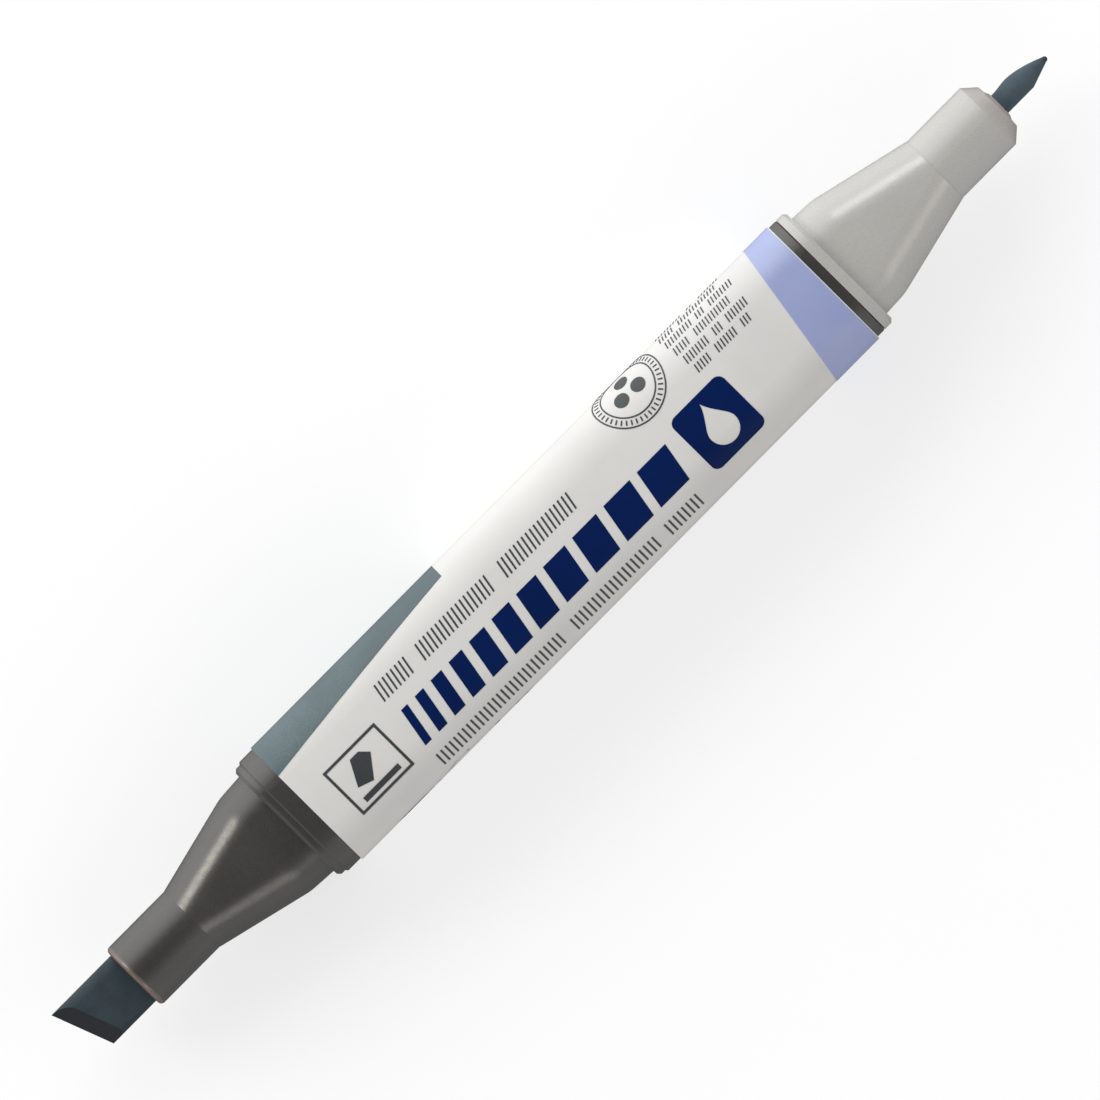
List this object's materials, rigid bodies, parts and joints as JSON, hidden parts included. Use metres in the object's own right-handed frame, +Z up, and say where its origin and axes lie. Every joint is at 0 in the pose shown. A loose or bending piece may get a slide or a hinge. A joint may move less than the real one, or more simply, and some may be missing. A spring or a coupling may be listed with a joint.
{
  "type": "felt tip marker",
  "caption": "Double-ended felt tip marker, uncapped: rounded-square labelled barrel, tapered nozzles, a broad chisel nib at one end and a fine bullet nib at the other.",
  "frame": {"origin": "on the surface the marker rests on, under the middle of its length, midway between the two nib tips", "axes": "+X along the barrel towards the fine nib, +Z up from the resting flat to the label's front flat, +Y towards the label's striped long side"},
  "size_m": [0.141, 0.016, 0.016],
  "materials": {
    "dark_plastic": "satin dark warm grey, moulded",
    "light_plastic": "satin light warm grey, moulded",
    "label_white": "satin white printed film",
    "print_slate": "slate green print under the film's satin coat",
    "print_lavender": "lavender print under the film's satin coat",
    "print_navy": "navy print under the film's satin coat",
    "print_grey": "dark grey print under the film's satin coat",
    "nib_felt": "pressed fibre soaked in slate blue-grey ink",
    "reservoir_fibre": "bundled fibre soaked in slate blue-grey ink",
    "reservoir_film": "thin milky plastic film"
  },
  "bodies": {
    "barrel": {"barrel_tube": "dark_plastic", "label_film": "label_white", "broad_nozzle": "dark_plastic", "fine_nozzle": "light_plastic", "reservoir_core": "reservoir_fibre", "reservoir_sleeve": "reservoir_film"},
    "broad_nib": {"broad_nib": "nib_felt"},
    "fine_nib": {"fine_nib": "nib_felt"}
  },
  "joints": [
    {"name": "broad_nib_pull", "type": "slide", "parent": "barrel", "child": "broad_nib", "axis": [-1, 0, 0], "range_m": [0, 0.036]},
    {"name": "fine_nib_pull", "type": "slide", "parent": "barrel", "child": "fine_nib", "axis": [1, 0, 0], "range_m": [0, 0.037]}
  ]
}
